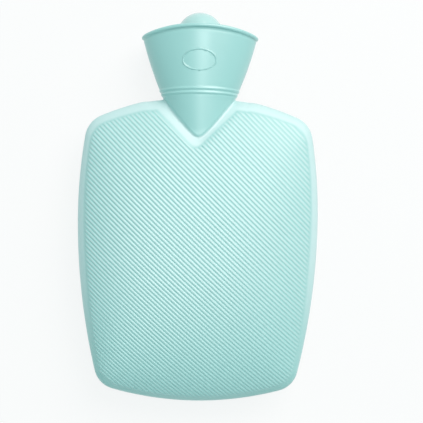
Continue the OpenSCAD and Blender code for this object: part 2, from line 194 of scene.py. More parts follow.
class StageSettings(bpy.types.PropertyGroup):
    """Camera and lamps."""

    distance: length(900.0, "Camera distance", "From the camera to the middle of the bottle")
    view_x: length(11.3, "View centre across", "Where the optical axis meets the bottle, across it")
    view_y: length(33.17, "View centre along", "Where the optical axis meets the bottle, along it")
    view_w: length(351.1, "View width", "Width of the picture at the middle of the bottle")
    roll: angle(0.74, "Roll", "How far the bottle leans in the picture")
    key_power: number(31.0, "Key", "Power of the large lamp at the upper right")
    streak_power: number(2.8, "Streak", "Power of the small lamp overhead that draws the funnel's streak")
    world: number(0.455, "World", "Strength of the even light all round")
    world_tint: colour((0.55, 1.0, 0.99, 1.0), "World tint", "Colour of the even light all round")
    key_tint: colour((1.0, 0.84, 0.83, 1.0), "Key tint", "Colour of the large lamp")


# Places and widths of the two lamps, and the place that they face
KEY_PLACE, KEY_WIDTH = (0.80, 1.18, 1.43), 1.5
STREAK_PLACE, STREAK_WIDTH = (0.12, 0.23, 1.6), 0.2
LAMP_AIM = (0.0, 0.03, 0.02)
# Half the width of the floor, and the share of plain white in what the camera and the gloss see of it
FLOOR_HALF, FLOOR_GLOW = 3.0, 0.85
# The rings of the body are cast from a spine between these heights, and the last this far over the foot
SPINE_LOW, SPINE_HIGH, OVER_FOOT = -62.0 * MM, 50.0 * MM, 1.0 * MM


def smooth_step(t):
    """0 below 0, 1 above 1, and 3t² - 2t³ between."""
    t = np.clip(t, 0.0, 1.0)
    return t * t * (3.0 - 2.0 * t)


def between(value, start, end):
    """0 up to the start, 1 from the end on, and a smooth step between."""
    return smooth_step((value - start) / (end - start))


def smooth_min(a, b, k):
    """The lesser of a and b, less (k - |a - b|)² / 4k where they differ by less than k."""
    near = np.maximum(k - np.abs(a - b), 0.0)
    return np.minimum(a, b) - near * near / (4.0 * k)


def arc(centre, radius, start, end, count=48):
    """Points of a circle arc, centre + radius (cos a, sin a), with a from start up to, but without, end."""
    a = np.linspace(start, end, count, endpoint=False)
    return np.column_stack((centre[0] + radius * np.cos(a), centre[1] + radius * np.sin(a)))


def rolled_centre(c1, r1, c2, r2, r):
    """Centre of a circle of radius r that rolls inside two larger circles and touches both, to the left of
    the way from c1 to c2: the crossing of circles of radius r1 - r and r2 - r about their centres."""
    a, b = r1 - r, r2 - r
    way = c2 - c1
    d = np.hypot(*way)
    u = way / d
    along = (a * a - b * b + d * d) / (2.0 * d)
    across = math.sqrt(a * a - along * along)
    return c1 + along * u + across * np.array((-u[1], u[0]))


def bearing(centre, point):
    """Direction from centre to point, as an angle."""
    return math.atan2(point[1] - centre[1], point[0] - centre[0])


def body_outline(s):
    """The right half of the body's outline from its bottom to its top, a chain of arcs that touch."""
    top = s.body_l / 2
    bottom_c = np.array((0.0, s.bottom_r - top))
    lower_c = np.array((s.body_w / 2 - s.side_lower_r, s.widest_y))
    upper_c = np.array((s.body_w / 2 - s.side_upper_r, s.widest_y))
    brow_c = np.array((s.shoulder_flat, top - s.brow_r))
    brow_end = math.pi / 2 - s.brow_turn
    shoulder_c = brow_c - (s.shoulder_r - s.brow_r) * np.array((math.cos(brow_end), math.sin(brow_end)))
    low_c = rolled_centre(bottom_c, s.bottom_r, lower_c, s.side_lower_r, s.bottom_corner_r)
    high_c = rolled_centre(upper_c, s.side_upper_r, shoulder_c, s.shoulder_r, s.shoulder_corner_r)
    a1, a2 = bearing(bottom_c, low_c), bearing(lower_c, low_c)
    a3, a4 = bearing(upper_c, high_c), bearing(shoulder_c, high_c)
    return np.vstack((
        arc(bottom_c, s.bottom_r, -math.pi / 2, a1),
        arc(low_c, s.bottom_corner_r, a1, a2),
        arc(lower_c, s.side_lower_r, a2, 0.0),
        arc(upper_c, s.side_upper_r, 0.0, a3),
        arc(high_c, s.shoulder_corner_r, a3, a4),
        arc(shoulder_c, s.shoulder_r, a4, brow_end),
        arc(brow_c, s.brow_r, brow_end, math.pi / 2),
        ((s.shoulder_flat, top), (0.0, top)),
    ))


class BottleForm:
    """The body, neck and funnel as formulas, worked out once from the sizes. Z is from the middle plane."""

    # How fast half width and half depth of the neck shrink below its foot
    foot_taper = 0.3
    # Power with which a ring's front and back rise over its sides on the way to the rim
    rise_power = 2.6
    # The neck's cone is at least this wide and deep, and ends this far below the foot, inside the body
    cone_least, cone_end = 1.0 * MM, 50.0 * MM
    # Width of the crease on the neck's side, and the height over the middle plane where it has its full depth
    crease_inner, crease_full = 2.2 * MM, 12.0 * MM
    # How often the halving is done that finds the end of a ray, and the height of the skin
    ray_halvings, height_halvings = 26, 24

    def __init__(self, s, thread):
        self.s = s
        self.top = s.body_l / 2
        self.foot = self.top - s.neck_drop
        self.rim = self.top + s.funnel_h
        self.mid_z = s.body_t / 2 - s.rest_flat
        self.outline = body_outline(s)
        self.angles = np.arctan2(self.outline[:, 1], self.outline[:, 0])
        self.radii = np.hypot(self.outline[:, 0], self.outline[:, 1])
        self.rim_half_d = self.mid_z - s.rim_gap - s.rim_out
        self.seat = self.foot + thread.seat_rise
        self.seal_y = self.seat + thread.socket_flange_t
        self.flange_y = self.seal_y + thread.seal_t
        self.stem_y = self.flange_y + thread.flange_t
        self.knob_y = self.rim + thread.knob_top - thread.knob_r
        self.thread_y = self.seat - thread.thread_inset - thread.thread_pitch * thread.thread_turns

    def reach(self, x, y):
        """The outline's distance from the middle of the body in the direction of a place."""
        return np.interp(np.arctan2(y, np.abs(x)), self.angles, self.radii)

    def level(self, x, y):
        """0 in the middle of the body and 1 on its outline: e g + (1 - e) g², where g is the place's share
        of the way out to the power of the fullness, and e how far the outline stands out over a plain box."""
        s = self.s
        tiny = 1e-9
        out = self.reach(x, y)
        r = np.maximum(np.hypot(x, y), tiny)
        g = (r / out) ** s.fullness
        k = out / r
        e = (np.abs(x) * k / (s.body_w / 2)) ** s.fullness + (np.abs(y) * k / self.top) ** s.fullness
        return e * g + (1.0 - e) * g * g

    def up(self, y):
        """Share of the way from the neck's foot to the rim, below 0 under the foot."""
        return (y - self.foot) / (self.rim - self.foot)

    def half_w(self, y):
        """Half width of neck and funnel. Under the waist it tapers evenly, and faster under the foot. Above
        the waist it goes from waist to rim with v, and bows out by 4 v (1 - v) of the bow."""
        s = self.s
        v = np.clip((y - self.top) / s.funnel_h, 0.0, 1.0)
        u = np.clip((y - self.foot) / s.neck_drop, 0.0, 1.0)
        funnel = (s.funnel_w - s.waist_w) / 2 * v + s.funnel_bow * 4.0 * v * (1.0 - v)
        neck = (s.waist_w - s.neck_w) / 2 * u + self.foot_taper * np.minimum(y - self.foot, 0.0)
        return s.neck_w / 2 + neck + funnel

    def half_d(self, y):
        """Half depth of neck and funnel, in the same way."""
        s = self.s
        spread = self.rim_half_d - s.neck_d / 2
        over, under = spread * self.up(y), self.foot_taper * (y - self.foot)
        return s.neck_d / 2 + np.where(y > self.foot, over, under)

    def rise(self, y):
        """How far the front and back of a ring stand above its sides: the rim's rise times the share of the
        way up to the rise power."""
        return self.s.rim_rise * np.maximum(self.up(y), 0.0) ** self.rise_power

    def body_distance(self, x, y, z):
        """Rough distance outside the body: its formula over the length of the formula's gradient."""
        half_t = self.s.body_t / 2
        step = 0.2 * MM
        f = self.level(x, y) + (z / half_t) ** 2 - 1.0
        fx = (self.level(x + step, y) - self.level(x - step, y)) / (2.0 * step)
        fy = (self.level(x, y + step) - self.level(x, y - step)) / (2.0 * step)
        return f / np.sqrt(fx * fx + fy * fy + (2.0 * z / half_t ** 2) ** 2 + 1.0)

    def neck_distance(self, x, y, z):
        """Rough distance outside the neck's oval cone, in the same way."""
        a = np.maximum(self.half_w(y), self.cone_least)
        b = np.maximum(self.half_d(y), self.cone_least)
        f = (x / a) ** 2 + (z / b) ** 2 - 1.0
        ended = np.maximum(self.foot - self.cone_end - y, 0.0)
        return f / (2.0 * np.sqrt(x * x / a ** 4 + z * z / b ** 4 + 0.25 / b ** 2)) + 2.0 * ended

    def inside_crease(self, x, y):
        """How far a place lies inside the crease where the neck leaves the body. Seen from the front the
        crease is a hyperbola, y = foot + slope (sqrt(x² + turn²) - turn)."""
        s = self.s
        bend = np.sqrt(x * x + s.groove_turn ** 2)
        slope = s.groove_steep * x / bend
        return (y - self.foot - s.groove_steep * (bend - s.groove_turn)) / np.sqrt(1.0 + slope * slope)

    def crease(self, x, y, z):
        """Depth of the groove along the crease. It is deepest there, rises as (1 - t)² over the pale band
        outside and steeply inside, and runs out towards the shoulders."""
        s = self.s
        inside = self.inside_crease(x, y)
        outer = np.clip(1.0 + inside / s.groove_w, 0.0, 1.0) ** 2
        inner = 1.0 - smooth_step(inside / self.crease_inner)
        return s.groove * np.where(inside < 0.0, outer, inner) * smooth_step(np.abs(z) / self.crease_full)

    def skin_distance(self, x, y, z):
        """Body and neck joined with a small softness, and the groove along their crease."""
        joined = smooth_min(self.body_distance(x, y, z), self.neck_distance(x, y, z), self.s.blend)
        return joined + self.crease(x, y, z)

    def cast(self, y0, dx, dy, dz):
        """Where rays from (0, y0, 0) meet the skin, found by halving between 0.2 and 1.7 of their length."""
        near = np.full(np.broadcast(y0, dx, dz).shape, 0.2)
        far = np.full_like(near, 1.7)
        for _ in range(self.ray_halvings):
            r = (near + far) / 2
            inside = self.skin_distance(r * dx, y0 + r * dy, r * dz) < 0.0
            near = np.where(inside, r, near)
            far = np.where(inside, far, r)
        return np.stack((near * dx, y0 + near * dy, near * dz), axis=-1)

    def skin_height(self, x, y):
        """Height of the front skin over the middle plane, found by halving up to 0.6 of the thickness."""
        low = np.zeros_like(x)
        high = np.full_like(x, 0.6 * self.s.body_t)
        for _ in range(self.height_halvings):
            z = (low + high) / 2
            inside = self.skin_distance(x, y, z) < 0.0
            low = np.where(inside, z, low)
            high = np.where(inside, high, z)
        return low


def ring_faces(rings, around):
    """Two triangles for each cell between neighbouring rings of a closed tube, facing outwards."""
    i, j = np.meshgrid(np.arange(rings - 1), np.arange(around), indexing="ij")
    a = (i * around + j).ravel()
    b = (i * around + (j + 1) % around).ravel()
    return np.vstack((np.column_stack((a, b, b + around)), np.column_stack((a, b + around, a + around))))


def fan(ring, centre):
    """Triangles from a ring of points to a centre point."""
    return np.column_stack((ring, np.roll(ring, -1), np.full(len(ring), centre)))


def weld(points, faces, grid=1e-7):
    """Joins points that share a place and drops the triangles that this closes up."""
    cells = np.round(points / grid).astype(np.int64)
    _, first, back = np.unique(cells, axis=0, return_index=True, return_inverse=True)
    faces = back.reshape(-1)[faces]
    keep = (faces[:, 0] != faces[:, 1]) & (faces[:, 1] != faces[:, 2]) & (faces[:, 2] != faces[:, 0])
    return points[first], faces[keep]


def mesh_object(name, points, faces, material=None, smooth=True):
    """A mesh object at the origin from arrays of points and triangles."""
    mesh = bpy.data.meshes.new(name)
    mesh.from_pydata(points.tolist(), [], faces.tolist())
    mesh.polygons.foreach_set("use_smooth", np.full(len(mesh.polygons), smooth))
    mesh.update()
    obj = bpy.data.objects.new(name, mesh)
    bpy.context.scene.collection.objects.link(obj)
    if material:
        mesh.materials.append(material)
    return obj


def union(name, objects, material):
    """One closed mesh from overlapping closed ones, with the sources removed."""
    base = objects[0]
    for other in objects[1:]:
        cut = base.modifiers.new("Union", "BOOLEAN")
        cut.operation = "UNION"
        cut.solver = "MANIFOLD"
        cut.object = other
    view = bpy.context.evaluated_depsgraph_get()
    mesh = bpy.data.meshes.new_from_object(base.evaluated_get(view))
    for obj in objects:
        bpy.data.objects.remove(obj)
    mesh.name = name
    mesh.materials.clear()
    mesh.materials.append(material)
    mesh.polygons.foreach_set("use_smooth", np.full(len(mesh.polygons), True))
    mesh.polygons.foreach_set("material_index", np.zeros(len(mesh.polygons), dtype=np.int32))
    joined = bpy.data.objects.new(name, mesh)
    bpy.context.scene.collection.objects.link(joined)
    return joined


def body_rings(form, phi):
    """Rings of the body up to the shoulders' corner with the neck. Each is cast from a point of the spine
    towards one place of the outline. They fan out from one point at the bottom, round its corners, climb
    the spine along the sides and close in again round the shoulders' corners."""
    count = 190
    bottom_corner, shoulder_corner = 25.0 * MM, 32.0 * MM
    corner_x = float(form.half_w(np.array(form.top)))
    outline = form.outline[form.outline[:, 0] > corner_x]
    bottom = form.outline[form.outline[:, 0] <= corner_x]
    bottom = bottom[bottom[:, 1] < 0.0]
    path = np.vstack((bottom, outline, ((corner_x, form.top),)))
    run = np.concatenate(((0.0,), np.cumsum(np.hypot(*np.diff(path, axis=0).T))))
    t = np.linspace(0.0, run[-1], count)
    px = np.interp(t, run, path[:, 0])
    py = np.interp(t, run, path[:, 1])
    low_turn = run[np.argmax(path[:, 1] > -form.top + bottom_corner)]
    high_turn = run[np.argmax(path[:, 1] > form.top - shoulder_corner)]
    turns = (0.0, low_turn, high_turn, run[-1])
    y0 = np.interp(t, turns, (SPINE_LOW, SPINE_LOW, SPINE_HIGH, form.foot + OVER_FOOT))
    height = form.skin_height(np.zeros_like(y0), y0)
    return cast_rings(form, phi, px, py, y0, height)


def cast_rings(form, phi, px, py, y0, height):
    """Rings cast from (0, y0) towards outline places (px, py): x goes as sin, z as cos of the ring angle."""
    sin, cos = np.sin(phi)[None, :], np.cos(phi)[None, :]
    dx = px[:, None] * sin
    dy = (py - y0)[:, None] * np.abs(sin)
    dz = height[:, None] * cos
    return form.cast(y0[:, None], dx, dy, dz)


def junction_rings(form, phi, first_band):
    """Rings that swing from the slanting one at the shoulders' corner to the level one under the bands."""
    count = 34
    t = np.linspace(0.0, 1.0, count + 1)[1:]
    py = form.top + (first_band - form.top) * t
    px = form.half_w(py)
    y0 = form.foot + OVER_FOOT + (first_band - form.foot - OVER_FOOT) * t
    height = form.skin_height(np.zeros_like(y0), y0)
    return cast_rings(form, phi, px, py, y0, height)


def funnel_ring(form, phi, y, grow, lift=0.0, level=False):
    """Rings of the funnel: oval in X and Z, and lifted along Y by the rise times cos². y, grow and lift
    are arrays with one value for each ring."""
    y, grow, lift = (np.asarray(v, float)[:, None] for v in np.broadcast_arrays(y, grow, lift))
    sin, cos = np.sin(phi)[None, :], np.cos(phi)[None, :]
    rise = 0.0 if level else form.rise(y)
    return np.stack(
        ((form.half_w(y) + grow) * sin, y + lift + rise * cos * cos, (form.half_d(y) + grow) * cos), axis=-1
    )


def flatten_back(form, points):
    """Presses the back flat at the floor, with a soft edge to the flat."""
    z = points[..., 2]
    press = form.s.rest_flat
    points[..., 2] = np.where(z < 0.0, -smooth_min(-z, np.full_like(z, form.mid_z), press), z)
    return points


def bottle_skin(form, thread):
    """The whole outer skin without ribs, over the rolled rim, down inside the funnel to its floor and the
    bore for the socket, as one closed tube of rings. A band's relief goes as a power of a cosine, and the
    rim is a half oval that turns from under its overhang to the inner wall."""
    s = form.s
    around = 176
    band_power, band_reach = 1.4, 0.46 * s.band_pitch
    lip_start, lip_end = -78.0, 180.0
    under_rim, wall_end, bore_play = 1.9 * s.rim_r, 1.0 * MM, 0.05 * MM
    phi = np.linspace(0.0, 2.0 * math.pi, around, endpoint=False)
    bands = form.top + s.band_y + np.array((-0.5, 0.5)) * s.band_pitch
    offset = np.linspace(-1.0, 1.0, 13)
    relief = s.band_h * np.maximum(np.cos(offset * math.pi / 2), 0.0) ** band_power
    parts = [flatten_back(form, body_rings(form, phi)), junction_rings(form, phi, bands[0] - band_reach)]
    for band in bands:
        parts.append(funnel_ring(form, phi, band + band_reach * offset, relief))
    side = np.linspace(bands[1] + band_reach, form.rim - under_rim, 42)[1:]
    parts.append(funnel_ring(form, phi, side, 0.0))
    turn = np.radians(np.linspace(lip_start, lip_end, 30))
    out = np.where(np.cos(turn) > 0.0, s.wall / 2 + s.rim_out, s.wall / 2)
    parts.append(funnel_ring(form, phi, form.rim, out * np.cos(turn) - s.wall / 2, s.rim_r * np.sin(turn)))
    down = np.linspace(form.rim - wall_end, form.seat + wall_end, 34)
    parts.append(funnel_ring(form, phi, down, -s.wall))
    inner = funnel_ring(form, phi, np.array((form.seat,)), -s.wall, level=True)[0]
    bore_r = thread.socket_r + bore_play
    bore = np.column_stack((bore_r * np.sin(phi), np.full(around, form.seat), bore_r * np.cos(phi)))
    share = np.linspace(0.0, 1.0, 6)[:, None, None]
    parts.append(inner + (bore - inner) * share)
    depth = np.linspace(0.0, thread.socket_l, 5)[1:, None]
    tube = np.repeat(bore[None], len(depth), axis=0)
    tube[..., 1] -= depth
    parts.append(tube)
    rings = np.concatenate(parts)
    count = len(rings)
    points = rings.reshape(-1, 3)
    faces = ring_faces(count, around)
    centre = len(points)
    points = np.vstack((points, (0.0, tube[-1, 0, 1], 0.0)))
    last = (count - 1) * around + np.arange(around)
    faces = np.vstack((faces, fan(last, centre)))
    return weld(points, faces)


def panel_edge(form, ribs, x, y):
    """How far the ribbed panel reaches from the middle of the body, in the direction of a place. Its margin
    goes over from that of the sides to that of the top with sin⁶ of the direction, and to that of the
    bottom with sin³."""
    a = np.arctan2(y, np.abs(x))
    top = np.maximum(np.sin(a), 0.0) ** 6
    bottom = np.maximum(-np.sin(a), 0.0) ** 3
    return (
        form.reach(x, y)
        - ribs.margin_side
        - (ribs.margin_top - ribs.margin_side) * top
        - (ribs.margin_bottom - ribs.margin_side) * bottom
    )


def rib_value(ribs, x, y):
    """The value that a rib keeps along its length: with c = x + y and d = x - y it is
    c - lean d - crowd c² + fan c d - bow d²."""
    c, d = x + y, x - y
    return c - math.tan(ribs.lean) * d - ribs.crowd * c * c + ribs.fan * c * d - ribs.bow * d * d


def rib_place(ribs, v, d):
    """The place on the rib line v at which x - y is d: the root of the formula above in c."""
    b = 1.0 + ribs.fan * d
    k = v + math.tan(ribs.lean) * d + ribs.bow * d * d
    c = 2.0 * k / (b + np.sqrt(b * b - 4.0 * ribs.crowd * k))
    return (c + d) / 2, (c - d) / 2


def panel_corners(form, ribs):
    """The places on the panel's edge that the lowest and the highest rib line touch, and their values."""
    directions = 1441
    a = np.linspace(-math.pi, math.pi, directions)
    edge = panel_edge(form, ribs, np.cos(a), np.sin(a))
    x, y = edge * np.cos(a), edge * np.sin(a)
    value = rib_value(ribs, x, y)
    low, high = np.argmin(value), np.argmax(value)
    return (x[low], y[low], value[low]), (x[high], y[high], value[high])


def rib_line_ends(form, ribs, v):
    """Both ends of each rib line, as values of d = x - y, found by halving outwards from where the line
    crosses the way to the nearer corner. Along that way v goes as an even and a square term."""
    low, high = panel_corners(form, ribs)
    middle = np.zeros_like(v)
    for (x, y, value), mine in ((low, v <= 0.0), (high, v > 0.0)):
        even = (value - rib_value(ribs, -x, -y)) / 2
        square = value - even
        root = np.sqrt(even * even + 4.0 * square * np.where(mine, v, 0.0))
        middle = np.where(mine, (x - y) * 2.0 * v / (even + math.copysign(1.0, even) * root), middle)
    ends = []
    for side in (-1.0, 1.0):
        near = middle.copy()
        far = middle + side * (form.s.body_l + form.s.body_w)
        for _ in range(form.ray_halvings):
            d = (near + far) / 2
            x, y = rib_place(ribs, v, d)
            inside = np.hypot(x, y) < panel_edge(form, ribs, x, y)
            near = np.where(inside, d, near)
            far = np.where(inside, far, d)
        ends.append(near)
    return ends


def rib_wave(ribs):
    """How much the value v changes from one rib to the next: the pitch times the root of 2."""
    return ribs.pitch * math.sqrt(2.0)


def rib_lines(form, ribs, v_tip, step):
    """The values v of the grid's lines, a step apart through v_tip, that stay clear of both corners."""
    clear = 0.3 * rib_wave(ribs)
    (_, _, v_min), (_, _, v_max) = panel_corners(form, ribs)
    most = math.ceil((v_max - v_min) / step)
    v = v_tip + np.arange(-most, most + 1) * step
    return v[(v > v_min + clear) & (v < v_max - clear)]


def closing_in(start, end, steps):
    """Values from start to end along each row, closer together at both ends, as (1 - cos) / 2 goes."""
    share = (1.0 - np.cos(np.linspace(0.0, math.pi, steps + 1))) / 2
    return start[:, None] + (end - start)[:, None] * share[None, :]


def rib_panel(form, ribs):
    """The ribbed panel as a closed slab over the skin. Its grid follows the ribs: each row keeps its value
    v. A rib's height goes as the cosine of half its phase, which makes round crests and sharp valleys,
    and dies away at its tips. The slab's edge dips under the skin. The plain yoke is the corner
    v > v_tip, x - y < d_tip left out, and what lies within the yoke's radius of it dips as well."""
    steps_before, steps_after = 22, 34
    lift, dip, edge_w, slab = 0.12 * MM, 0.35 * MM, 1.3 * MM, 2.5 * MM
    wave = rib_wave(ribs)
    step = wave / ribs.steps
    tip_x, tip_y = -ribs.yoke_shift, form.foot - ribs.yoke_w + math.sqrt(2.0) * ribs.yoke_r
    v_tip, d_tip = rib_value(ribs, tip_x, tip_y), tip_x - tip_y
    v = rib_lines(form, ribs, v_tip, step)
    d0, d1 = rib_line_ends(form, ribs, v)
    quarter = 0.25 * (d1 - d0)
    after = v > v_tip + step / 2
    mid = np.where(after, np.maximum(d_tip, d0), np.clip(d_tip, d0 + quarter, d1 - quarter))
    mid = np.where(np.isclose(v, v_tip), d_tip, mid)
    d = np.hstack((closing_in(d0, mid, steps_before)[:, :-1], closing_in(mid, d1, steps_after)))
    vv = np.repeat(v[:, None], d.shape[1], axis=1)
    x, y = rib_place(ribs, vv, d)
    base = form.skin_height(x, y)
    margin = panel_edge(form, ribs, x, y) - np.hypot(x, y)
    notch = np.hypot(np.maximum(v_tip - vv, 0.0), np.maximum(d - d_tip, 0.0)) / math.sqrt(2.0) - ribs.yoke_r
    ends = np.minimum(vv - v.min(), v.max() - vv) / math.sqrt(2.0)
    edge = np.minimum(np.minimum(margin, notch), ends)
    over = smooth_step(edge / edge_w)
    crest = np.abs(np.cos(math.pi * vv / wave))
    z = base + lift * over - dip * (1.0 - over) + (ribs.height - lift) * crest * smooth_step(edge / ribs.tip)
    top = np.stack((x, y, z), axis=-1).reshape(-1, 3)
    bottom = np.stack((x, y, base - slab), axis=-1).reshape(-1, 3)
    rows, cols = vv.shape
    i, j = np.meshgrid(np.arange(rows - 1), np.arange(cols - 1), indexing="ij")
    whole = ((j >= steps_before) | (~after[1:])[i]).ravel()
    a = (i * cols + j).ravel()[whole]
    b = a + cols
    sheet = np.vstack((np.column_stack((a, b + 1, b)), np.column_stack((a, a + 1, b + 1))))
    return closed_slab(top, bottom, sheet)


def closed_slab(top, bottom, sheet):
    """A closed solid from a sheet of triangles, its copy below and a wall along every open edge."""
    n = len(top)
    edges = np.vstack((sheet[:, (0, 1)], sheet[:, (1, 2)], sheet[:, (2, 0)]))
    key = np.sort(edges, axis=1)
    _, first, times = np.unique(key[:, 0] * n + key[:, 1], return_index=True, return_counts=True)
    rim = edges[first[times == 1]]
    wall = np.vstack((
        np.column_stack((rim[:, 1], rim[:, 0], rim[:, 0] + n)),
        np.column_stack((rim[:, 1], rim[:, 0] + n, rim[:, 1] + n)),
    ))
    faces = np.vstack((sheet, sheet[:, ::-1] + n, wall))
    return weld(np.vstack((top, bottom)), faces)


def tube_loop(centres, normals, radius, around=10):
    """A closed tube along a closed path: at each place a circle across the path, from the normal and what
    is square to the normal and the path."""
    ahead = np.roll(centres, -1, axis=0) - np.roll(centres, 1, axis=0)
    ahead /= np.linalg.norm(ahead, axis=1)[:, None]
    side = np.cross(ahead, normals)
    side /= np.linalg.norm(side, axis=1)[:, None]
    q = np.linspace(0.0, 2.0 * math.pi, around, endpoint=False)
    rings = (
        centres[:, None]
        + radius * np.cos(q)[None, :, None] * normals[:, None]
        + radius * np.sin(q)[None, :, None] * side[:, None]
    )
    rings = np.concatenate((rings, rings[:1]))
    return weld(rings.reshape(-1, 3), ring_faces(len(rings), around))


def oval_line(form):
    """The bare oval on the front of the funnel, as a thin raised line that follows the surface."""
    s = form.s
    a = np.linspace(0.0, 2.0 * math.pi, 120, endpoint=False)
    y = form.rim - s.oval_drop + s.oval_h / 2 * np.sin(a)
    x = s.oval_w / 2 * np.cos(a)
    z = form.half_d(y) * np.sqrt(1.0 - (x / form.half_w(y)) ** 2)
    centres = np.column_stack((x, y + form.rise(y) * (z / form.half_d(y)) ** 2, z))
    normals = np.column_stack((x / form.half_w(y) ** 2, np.zeros_like(x), z / form.half_d(y) ** 2))
    normals /= np.linalg.norm(normals, axis=1)[:, None]
    return tube_loop(centres, normals, s.oval_r)


def paint_skin(form, ribs, obj):
    """Writes two values on each point. "pale" is a painted highlight and reflection: 1 on the plain front
    outside the ribbed panel, running out across the panel's edge, past the neck's crease, round the side to
    the back and down towards the bottom, and a share on the ribs' crests that is less further down.
    "polish" is 1 on the neck and funnel."""
    edge_from, edge_to = -1.0 * MM, 2.0 * MM
    crease_w = 2.0 * MM
    side_w = 8.0 * MM
    # The painted highlight runs out between these heights, so the bottom stays darker
    low_y, high_y = -110.0 * MM, 10.0 * MM
    neck_from, neck_to = form.foot - 5.0 * MM, form.foot - 1.0 * MM
    low_crest_highlight = 0.4
    mesh = obj.data
    spots = np.empty(len(mesh.vertices) * 3)
    mesh.vertices.foreach_get("co", spots)
    x, y, z = spots.reshape(-1, 3).T
    z = z - form.mid_z
    tip_x, tip_y = -ribs.yoke_shift, form.foot - ribs.yoke_w
    v_in = (rib_value(ribs, tip_x, tip_y) - rib_value(ribs, x, y)) / math.sqrt(2.0)
    d_in = ((x - y) - (tip_x - tip_y)) / math.sqrt(2.0)
    notch = np.hypot(np.maximum(v_in + ribs.yoke_r, 0.0), np.maximum(d_in + ribs.yoke_r, 0.0)) - ribs.yoke_r
    inner = np.minimum(panel_edge(form, ribs, x, y) - np.hypot(x, y), notch)
    plain = 1.0 - between(inner, edge_from, edge_to)
    body = 1.0 - between(form.inside_crease(x, y), 0.0, crease_w)
    # Only the front half, which faces the lamps, gets the painted highlight
    front = between(z, -side_w, side_w)
    high = between(y, low_y, high_y)
    # Painted highlight on the ribs' crests, less further down, where less light falls
    wave = np.cos(math.pi * rib_value(ribs, x, y) / rib_wave(ribs)) ** 2
    crest = ribs.painted_crest_highlight * (low_crest_highlight + (1.0 - low_crest_highlight) * high) * wave * between(inner, 0.0, ribs.tip)
    # "pale": painted highlight and reflection on the plain border and yoke, and painted highlight on the
    # crests
    values = {
        "pale": np.maximum(plain * body * high, crest) * front,
        "polish": (1.0 - body) * between(y, neck_from, neck_to),
    }
    for name, value in values.items():
        mesh.attributes.new(name, "FLOAT", "POINT").data.foreach_set("value", value)


def face_out(points, faces):
    """Turns all triangles over if they enclose a negative volume."""
    p = points[faces]
    volume = np.einsum("ij,ij->i", p[:, 0], np.cross(p[:, 1], p[:, 2])).sum()
    return faces if volume > 0.0 else faces[:, ::-1]


def lifted(form, points):
    """From heights over the middle plane to heights over the floor."""
    points = points.copy()
    points[:, 2] += form.mid_z
    return points


def turned(profile, around):
    """A closed surface of revolution about Y from (radius, y) points that start and end on the axis."""
    q = np.linspace(0.0, 2.0 * math.pi, around, endpoint=False)
    rings = np.stack((
        profile[:, None, 0] * np.sin(q)[None, :],
        np.repeat(profile[:, None, 1], around, axis=1),
        profile[:, None, 0] * np.cos(q)[None, :],
    ), axis=-1)
    points, faces = weld(rings.reshape(-1, 3), ring_faces(len(profile), around))
    return points, face_out(points, faces)


def rounded(corners, radii, steps=6):
    """A profile whose corners are replaced by curves that leave and meet their sides at the given lengths."""
    out = []
    for i, corner in enumerate(corners):
        corner = np.array(corner, float)
        r = radii[i]
        if r == 0.0:
            out.append(corner[None])
            continue
        before, after = np.array(corners[i - 1], float), np.array(corners[i + 1], float)
        p0 = corner + (before - corner) / np.linalg.norm(before - corner) * r
        p2 = corner + (after - corner) / np.linalg.norm(after - corner) * r
        t = np.linspace(0.0, 1.0, steps + 1)[:, None]
        out.append((1 - t) ** 2 * p0 + 2 * t * (1 - t) * corner + t ** 2 * p2)
    return np.vstack(out)


def thread_ridge(start_y, root_r, tip_r, lead, turns, base, tip):
    """A ridge wound on a cylinder: its section, wide at the root and narrow at the tip, climbs by the lead
    each turn and runs out at both ends."""
    steps_a_turn, run_out = 60, math.radians(40.0)
    n = int(turns * steps_a_turn)
    a = np.linspace(0.0, 2.0 * math.pi * turns, n + 1)
    end = np.minimum(a, a[-1] - a) / run_out
    height = root_r + (tip_r - root_r) * smooth_step(end)
    y = start_y + lead * a / (2.0 * math.pi)
    section_r = np.stack((np.full_like(a, root_r), height, height, np.full_like(a, root_r)), axis=1)
    section_y = y[:, None] + np.array((-base / 2, -tip / 2, tip / 2, base / 2))[None, :]
    rings = np.stack((section_r * np.sin(a)[:, None], section_y, section_r * np.cos(a)[:, None]), axis=-1)
    points = rings.reshape(-1, 3)
    faces = ring_faces(n + 1, 4)
    first, last = np.arange(4), 4 * n + np.arange(4)
    caps = np.array(((0, 2, 1), (0, 3, 2)))
    faces = np.vstack((faces, first[caps], last[caps][:, ::-1]))
    return points, face_out(points, faces)


